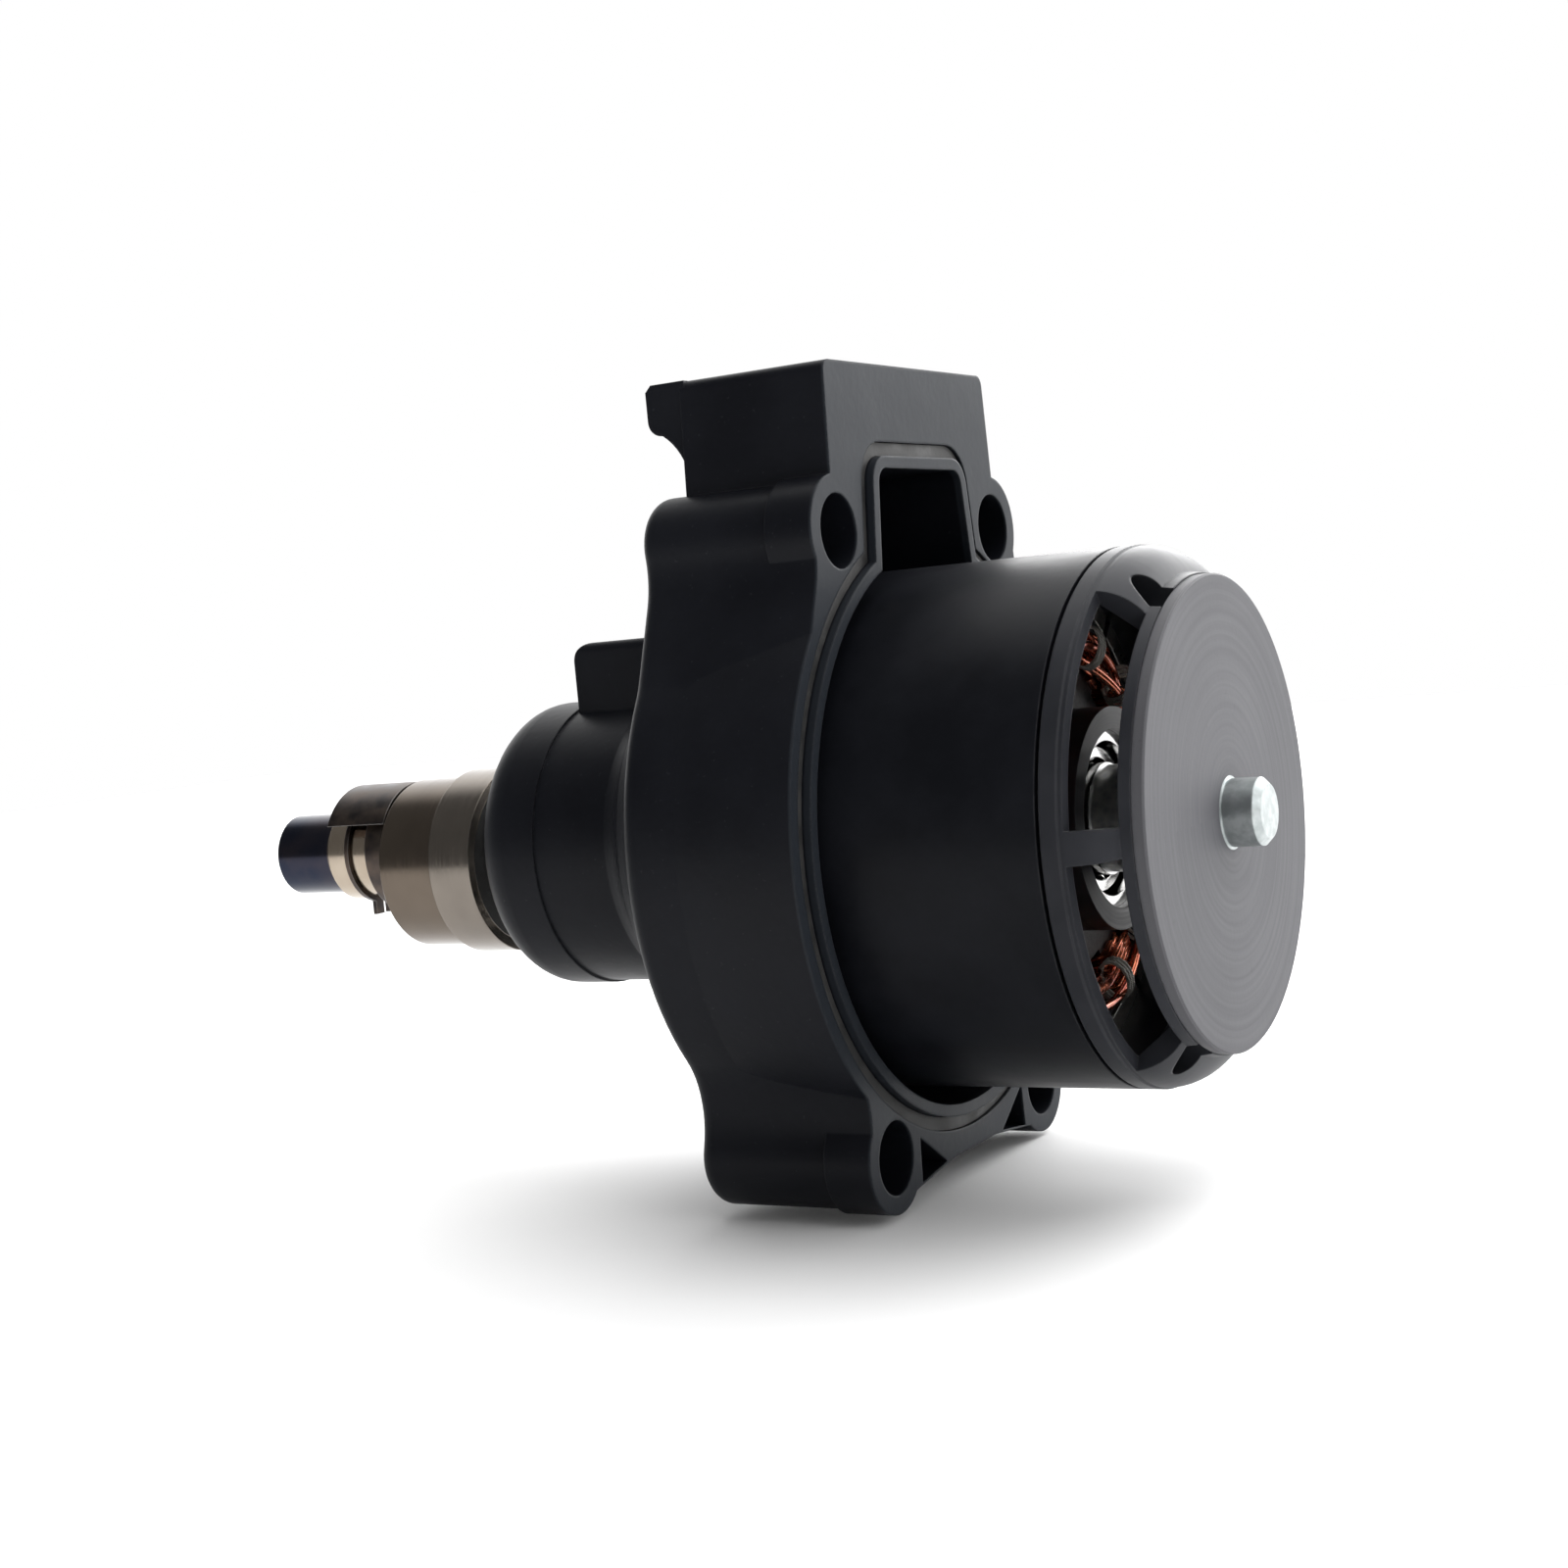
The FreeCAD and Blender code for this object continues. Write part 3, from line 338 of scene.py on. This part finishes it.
def grey_disc():
    """Matt grey coat on the end disc, with fine specks and a few rub marks."""
    paint = Paint("grey_disc", (0.082, 0.082, 0.09), 0.55)
    paint.shader.inputs["Specular IOR Level"].default_value = 0.25
    edges = paint.soften_edges(0.15 * MM)
    clouds = paint.noise(60, 4.0)
    share = paint.between(clouds, 0.3, 0.7)
    coat = paint.mix(share, (0.076, 0.0755, 0.083), (0.089, 0.0885, 0.097))
    specks = paint.between(paint.noise(1900, 1.0), 0.66, 0.76, 0.0, 0.4)
    speckled = paint.mix(specks, coat, (0.066, 0.066, 0.072))
    paint.vary_colour(paint.math("MULTIPLY", edges, 0.5), speckled, (0.2, 0.2, 0.21))
    paint.vary_roughness(paint.turned(0.5 * MM), 0.5, 0.62)
    paint.bump(paint.noise(1600, 2.0), 0.008 * MM)
    return paint


def polished_steel(name, colour, roughness, centre=0.0, pitch=0.09 * MM, rub=0.15 * MM):
    """Ground and polished metal with fine lines around it and soft stains."""
    paint = Paint(name, colour, roughness, 1.0)
    paint.soften_edges(rub)
    lines = paint.turned(pitch, centre)
    stain = paint.noise(180, 4.0)
    darker = tuple(part * 0.82 for part in colour)
    paint.vary_colour(paint.between(stain, 0.4, 0.75), colour, darker)
    paint.vary_roughness(lines, roughness * 0.75, roughness * 1.35)
    paint.bump(lines, 0.0016 * MM)
    return paint


def shaft_steel():
    """The shaft: ground journals, a blued tip, and a zinc-plated end beyond the disc."""
    colour = (0.42, 0.36, 0.29)
    paint = Paint("ground_steel", colour, 0.17, 1.0)
    paint.soften_edges(0.2 * MM)
    lines = paint.turned(0.09 * MM)
    stain = paint.noise(180, 4.0)
    plated = paint.between(paint.axes()[0], 26.0 * MM, 27.5 * MM)
    steel = paint.mix(paint.between(stain, 0.4, 0.75), colour, (0.32, 0.26, 0.2))
    spangle = paint.between(paint.noise(900), 0.4, 0.6)
    zinc = paint.mix(spangle, (0.36, 0.39, 0.39), (0.47, 0.5, 0.5))
    blued = paint.between(paint.axes()[0], -71.0 * MM, -71.3 * MM)
    tempered = paint.mix(paint.patches(stain), (0.016, 0.022, 0.04), (0.045, 0.04, 0.05))
    paint.vary_colour(blued, paint.mix(plated, steel, zinc), tempered)
    rough = paint.between(lines, 0.3, 0.7, 0.13, 0.24)
    duller = paint.math("ADD", rough, paint.math("MULTIPLY", plated, 0.2))
    paint.put(paint.shader.inputs["Roughness"], duller)
    paint.bump(lines, 0.002 * MM)
    return paint


def dark_steel():
    """Blackened, oiled steel with brownish mottling."""
    paint = Paint("dark_steel", (0.05, 0.043, 0.04), 0.34, 1.0)
    edges = paint.soften_edges(0.15 * MM)
    mottle = paint.noise(500, 5.0)
    coat = paint.mix(paint.patches(mottle), (0.035, 0.031, 0.031), (0.085, 0.066, 0.055))
    paint.vary_colour(paint.math("MULTIPLY", edges, 0.6), coat, (0.3, 0.29, 0.28))
    paint.vary_roughness(mottle, 0.28, 0.42)
    paint.bump(mottle, 0.006 * MM)
    return paint


def zinc_steel():
    """Zinc plate with its faint spangle."""
    paint = Paint("plain_steel", (0.6, 0.61, 0.62), 0.35, 1.0)
    paint.soften_edges(0.1 * MM)
    spangle = paint.cells(1400)
    paint.vary_colour(paint.between(spangle, 0.1, 0.7), (0.52, 0.53, 0.55), (0.7, 0.71, 0.7))
    paint.vary_roughness(paint.noise(800), 0.28, 0.42)
    paint.bump(spangle, 0.003 * MM)
    return paint


def lamination_steel():
    """Varnished stack of 0.5 mm sheets: a fine groove at each joint, each sheet its own shade."""
    sheet_thick = 0.5 * MM
    paint = Paint("lamination_steel", (0.12, 0.115, 0.11), 0.4, 0.8)
    along = paint.math("DIVIDE", paint.axes()[0], sheet_thick)
    phase = paint.math("FRACT", along)
    joint = paint.math("MULTIPLY", paint.between(phase, 0.0, 0.12), paint.between(phase, 1.0, 0.88))
    shade = paint.node("ShaderNodeTexWhiteNoise", noise_dimensions="1D")
    paint.put(shade.inputs["W"], paint.math("FLOOR", along))
    metal = paint.mix(shade.outputs["Value"], (0.1, 0.095, 0.09), (0.17, 0.16, 0.15))
    paint.vary_colour(joint, (0.02, 0.018, 0.015), metal)
    paint.vary_roughness(paint.noise(600), 0.32, 0.5)
    paint.bump(joint, 0.05 * MM)
    return paint


def black_anodised():
    """Turned aluminium under a black anodised skin."""
    paint = Paint("black_anodised", (0.014, 0.014, 0.016), 0.34)
    edges = paint.soften_edges(0.1 * MM)
    lines = paint.turned(0.12 * MM)
    skin = paint.mix(paint.between(lines, 0.3, 0.7), (0.011, 0.011, 0.013), (0.019, 0.019, 0.022))
    paint.vary_colour(paint.math("MULTIPLY", edges, 0.4), skin, (0.2, 0.2, 0.21))
    paint.vary_roughness(lines, 0.28, 0.42)
    paint.bump(lines, 0.006 * MM)
    return paint


def copper_wire():
    """Enamelled winding wire: clear red-brown enamel over copper, unevenly baked."""
    paint = Paint("copper_wire", (0.5, 0.13, 0.05), 0.2, 0.85, coat_weight=0.8, coat_roughness=0.08)
    shade = paint.noise(350, 2.0)
    paint.vary_colour(paint.patches(shade), (0.34, 0.05, 0.02), (0.6, 0.14, 0.05))
    paint.vary_roughness(paint.noise(1800), 0.15, 0.3)
    paint.bump(paint.noise(2500, 1.0), 0.004 * MM)
    return paint


def moulded_plastic(name, dark, light, roughness):
    """Fine spark-eroded grain of a moulding."""
    paint = Paint(name, dark, roughness)
    paint.soften_edges(0.12 * MM)
    paint.vary_colour(paint.between(paint.noise(300), 0.3, 0.7), dark, light)
    grain = paint.noise(3500, 2.0)
    paint.vary_roughness(grain, roughness - 0.07, roughness + 0.07)
    paint.bump(grain, 0.01 * MM)
    return paint


def rubber():
    """Dull rubber with bloom in patches."""
    paint = Paint("black_rubber", (0.016, 0.016, 0.016), 0.6)
    bloom = paint.noise(420, 4.0)
    share = paint.between(bloom, 0.45, 0.75)
    paint.vary_colour(share, (0.013, 0.013, 0.013), (0.034, 0.033, 0.032))
    paint.vary_roughness(bloom, 0.5, 0.75)
    paint.bump(paint.noise(2400), 0.012 * MM)
    return paint


def magnet_nickel():
    paint = Paint("magnet_nickel", (0.5, 0.49, 0.46), 0.3, 1.0)
    paint.soften_edges(0.15 * MM)
    dents = paint.noise(700, 3.0)
    paint.vary_colour(paint.between(dents, 0.3, 0.7), (0.42, 0.41, 0.38), (0.56, 0.55, 0.52))
    paint.vary_roughness(dents, 0.24, 0.4)
    paint.bump(dents, 0.008 * MM)
    return paint


def cage_brass():
    """Pressed and tumbled brass."""
    paint = Paint("cage_brass", (0.68, 0.5, 0.22), 0.3, 1.0)
    paint.soften_edges(0.1 * MM)
    stain = paint.noise(600, 4.0)
    paint.vary_colour(paint.between(stain, 0.35, 0.7), (0.7, 0.52, 0.23), (0.45, 0.31, 0.13))
    paint.vary_roughness(stain, 0.24, 0.42)
    paint.bump(paint.noise(2200), 0.004 * MM)
    return paint


def board_green():
    """Solder mask over copper tracks, with the glass weave faintly printed through."""
    paint = Paint("board_green", (0.02, 0.09, 0.045), 0.3, coat_weight=0.4, coat_roughness=0.15)
    _, y, z = paint.axes()
    radius = paint.distance(y, z)
    track = paint.math("SINE", paint.math("MULTIPLY", radius, 2 * math.pi / (1.3 * MM)))
    copper = paint.between(track, 0.35, 0.5)
    paint.vary_colour(copper, (0.012, 0.06, 0.03), (0.03, 0.13, 0.06))
    weave = paint.math("MULTIPLY", paint.math("SINE", paint.math("MULTIPLY", y, 9000.0)),
                       paint.math("SINE", paint.math("MULTIPLY", z, 9000.0)))
    paint.vary_roughness(paint.noise(900), 0.25, 0.4)
    paint.bump(weave, 0.003 * MM)
    paint.bump(copper, 0.02 * MM)
    return paint


def dress_everything():
    steel = polished_steel("bearing_steel", (0.64, 0.635, 0.63), 0.12)
    # Painted shade: the crank bearing's rings and balls, the needle rollers and the eccentric
    # sleeve get a much darker copy of the bearing steel, for the dark mouth of the neck they sit
    # in.
    shaded_crank_steel = polished_steel("crank_bearing_steel", (0.21, 0.185, 0.16), 0.2, LIFT)
    black_plastic = moulded_plastic("insulator_plastic", (0.012, 0.012, 0.013),
                                    (0.02, 0.02, 0.021), 0.45)
    dress(black_casting(), "housing")
    dress(black_steel("black_steel", (0.0055, 0.006, 0.008), (0.0085, 0.0092, 0.012)), "flux_ring")
    # Painted light: the end bell gets a lighter copy of the flux ring's black coating, standing in
    # for more light falling on it.
    dress(black_steel("black_bell_painted_light", (0.02, 0.021, 0.025), (0.028, 0.029, 0.034)), "end_bell")
    dress(grey_disc(), "end_disc")
    dress(shaft_steel(), "eccentric_shaft")
    dress(dark_steel(), "counterweight", "retaining_ring")
    dress(polished_steel("nickel_steel", (0.135, 0.11, 0.088), 0.2, LIFT), "needle_bearing_ring")
    for end in ("front", "rear"):
        dress(steel, *("%s_bearing_%s" % (end, part) for part in BEARING_PARTS))
    dress(steel, "crank_bearing_cage")
    dress(shaded_crank_steel, *("crank_bearing_" + part for part in BEARING_PARTS if part != "cage"))
    dress(shaded_crank_steel, "needle_rollers", "eccentric_sleeve")
    dress(cage_brass(), "needle_cage")
    dress(rubber(), "face_seal", "shaft_seal", "crank_bearing_seals")
    dress(black_anodised(), "stator_tube")
    dress(lamination_steel(), "stator_stack")
    dress(black_plastic, "front_insulator", "rear_insulator", "hall_sensors")
    socket = moulded_plastic("socket_plastic", (0.62, 0.6, 0.54), (0.7, 0.68, 0.62), 0.4)
    dress(socket, "signal_socket")
    dress(board_green(), "sensor_board")
    zinc = zinc_steel()
    dress(zinc, "board_screws", "wave_washer", "hub_spacer", "front_spacer")
    dress(magnet_nickel(), "magnets_north", "magnets_south")
    return black_plastic, zinc


# ---------------------------------------------------------------- windings
def coil_path(turn_angle):
    """Centreline of one coil: a helix along the tooth and back in a second layer."""
    stack_low, stack_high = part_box("front_insulator")[0].x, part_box("rear_insulator")[1].x
    wander = random.Random(int(turn_angle))
    points = []
    for layer in range(LAYERS):
        gap = WIRE * (1.0 + 1.86 * layer)
        across, front, back = HALF_TOOTH + gap, stack_low - gap, stack_high + gap
        middle, half_length = (front + back) / 2, (back - front) / 2
        for step in range(TURNS * COIL_STEPS):
            angle = 2 * math.pi * step / COIL_STEPS
            share = step / (TURNS * COIL_STEPS - 1)
            height = COIL_LOW + (COIL_HIGH - COIL_LOW) * (share if layer == 0 else 1 - share)
            along, side = math.cos(angle), math.sin(angle)
            reach = half_length - TOOTH_CORNER * 0.05
            x = math.copysign(abs(along) ** COIL_SQUARENESS, along) * reach
            y = math.copysign(abs(side) ** COIL_SQUARENESS, side) * across
            jitter = COIL_JITTER * wander.uniform(-1, 1)
            points.append(Vector((middle + x, y + jitter, height + jitter)))
    spin = Matrix.Rotation(turn_angle, 3, "X")
    return [spin @ point for point in points]


def wire_curve(name, paths, radius, sides=2):
    data = bpy.data.curves.new(name, "CURVE")
    data.dimensions = "3D"
    data.bevel_depth = radius
    data.bevel_resolution = sides
    data.use_fill_caps = True
    for path in paths:
        line = data.splines.new("POLY")
        line.points.add(len(path) - 1)
        for spot, point in zip(line.points, path):
            spot.co = (*point, 1.0)
    piece = bpy.data.objects.new(name, data)
    bpy.context.scene.collection.objects.link(piece)
    return piece


def make_windings(copper):
    """Twelve wound teeth in three phases, each standing for the CAD's solid coils."""
    for phase, letter in enumerate("uvw"):
        angles = [POLE_STEP * (phase + 3 * i) for i in range(4)]
        piece = wire_curve("winding_" + letter, [coil_path(angle) for angle in angles], WIRE)
        piece.data.materials.append(copper.material)
        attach(piece, "base")
        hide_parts("coils_phase_" + letter)


def ring_point(x, radius, angle):
    return Vector((x, radius * math.cos(angle), radius * math.sin(angle)))


def make_jumpers(copper, lacing):
    """Enamelled leads that join each phase's coils behind the stator, tied with lacing cord."""
    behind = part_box("rear_insulator")[1].x
    for phase, letter in enumerate("uvw"):
        start = POLE_STEP * phase
        wander = random.Random(phase)
        paths = []
        for part in range(3):
            low = start + part * math.pi / 2 + LEAD_MARGIN
            span = math.pi / 2 - 2 * LEAD_MARGIN
            bow = wander.uniform(0.2, 0.5) * MM
            path = []
            for i in range(LEAD_STEPS + 1):
                share = i / LEAD_STEPS
                out = behind + (1.1 + 1.1 * math.sin(math.pi * share)) * MM
                radius = LEAD_RINGS[phase] + bow * math.sin(2 * math.pi * share)
                path.append(ring_point(out, radius, low + span * share))
            paths.append(path)
        piece = wire_curve("jumper_" + letter, paths, LEAD_RADIUS, 3)
        piece.data.materials.append(copper.material)
        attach(piece, "base")
    ties = []
    for tie in range(TEETH):
        angle = POLE_STEP * (tie + 0.5)
        for turn in (-TIE_SPREAD, 0.0, TIE_SPREAD):
            loop = []
            for step in range(TIE_STEPS + 1):
                around = 2 * math.pi * step / TIE_STEPS
                out = behind + (1.75 + 1.5 * math.cos(around)) * MM
                loop.append(ring_point(out, (15.9 + 2.0 * math.sin(around)) * MM, angle + turn))
            ties.append(loop)
    piece = wire_curve("lacing", ties, TIE_RADIUS, 1)
    piece.data.materials.append(lacing.material)
    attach(piece, "base")


def lacing_cord():
    """Waxed white cord with a twist."""
    paint = Paint("lacing_cord", (0.7, 0.68, 0.62), 0.5)
    x, _, z = paint.axes()
    along = paint.math("MULTIPLY", paint.math("ADD", x, z), 2 * math.pi / (0.25 * MM))
    twist = paint.math("SINE", along)
    paint.vary_colour(paint.between(twist, -1.0, 1.0), (0.55, 0.53, 0.48), (0.78, 0.77, 0.72))
    paint.vary_roughness(paint.noise(1500), 0.4, 0.6)
    paint.bump(twist, 0.02 * MM)
    return paint


# ---------------------------------------------------------------- sensor board parts
def chip_mesh(shape, centre, sizes, angle):
    """A small bevelled block on the board's rear face, turned to angle about the motor axis."""
    made = bmesh.ops.create_cube(shape, size=1.0)["verts"]
    for vert in made:
        vert.co = Vector(part * size for part, size in zip(vert.co, sizes)) + centre
    edges = {edge for vert in made for edge in vert.link_edges}
    broken = bmesh.ops.bevel(shape, geom=list(edges), offset=CHIP_EDGE, segments=2, affect="EDGES")
    spin = Matrix.Rotation(angle, 4, "X")
    whole = set(broken["verts"]) | {vert for vert in made if vert.is_valid}
    bmesh.ops.transform(shape, matrix=spin, verts=list(whole))


def make_chips(body_paint, metal_paint):
    """Resistors, capacitors and driver chips on the sensor board, with tinned ends."""
    board_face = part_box("sensor_board")[1].x
    bodies, ends = bmesh.new(), bmesh.new()
    for degrees, radius, length, width in CHIPS:
        angle = math.radians(degrees)
        centre = Vector((board_face + CHIP_TALL / 2, radius * MM, 0))
        chip_mesh(bodies, centre, (CHIP_TALL, width * MM, length * MM), angle)
        for side in (-1, 1):
            end = centre + Vector((0, 0, side * (length / 2 - 0.12) * MM))
            chip_mesh(ends, end, (CHIP_TALL + END_CAP, width * MM + END_CAP, 0.4 * MM), angle)
    groups = (("chip_bodies", bodies, body_paint), ("chip_ends", ends, metal_paint))
    for name, shape, paint in groups:
        mesh = bpy.data.meshes.new(name)
        shape.to_mesh(mesh)
        shape.free()
        piece = bpy.data.objects.new(name, mesh)
        bpy.context.scene.collection.objects.link(piece)
        mesh.materials.append(paint.material)
        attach(piece, "base")


make_camera()
make_floor()
make_light()
black_plastic, zinc = dress_everything()
copper = copper_wire()
make_windings(copper)
make_jumpers(copper, lacing_cord())
make_chips(black_plastic, zinc)
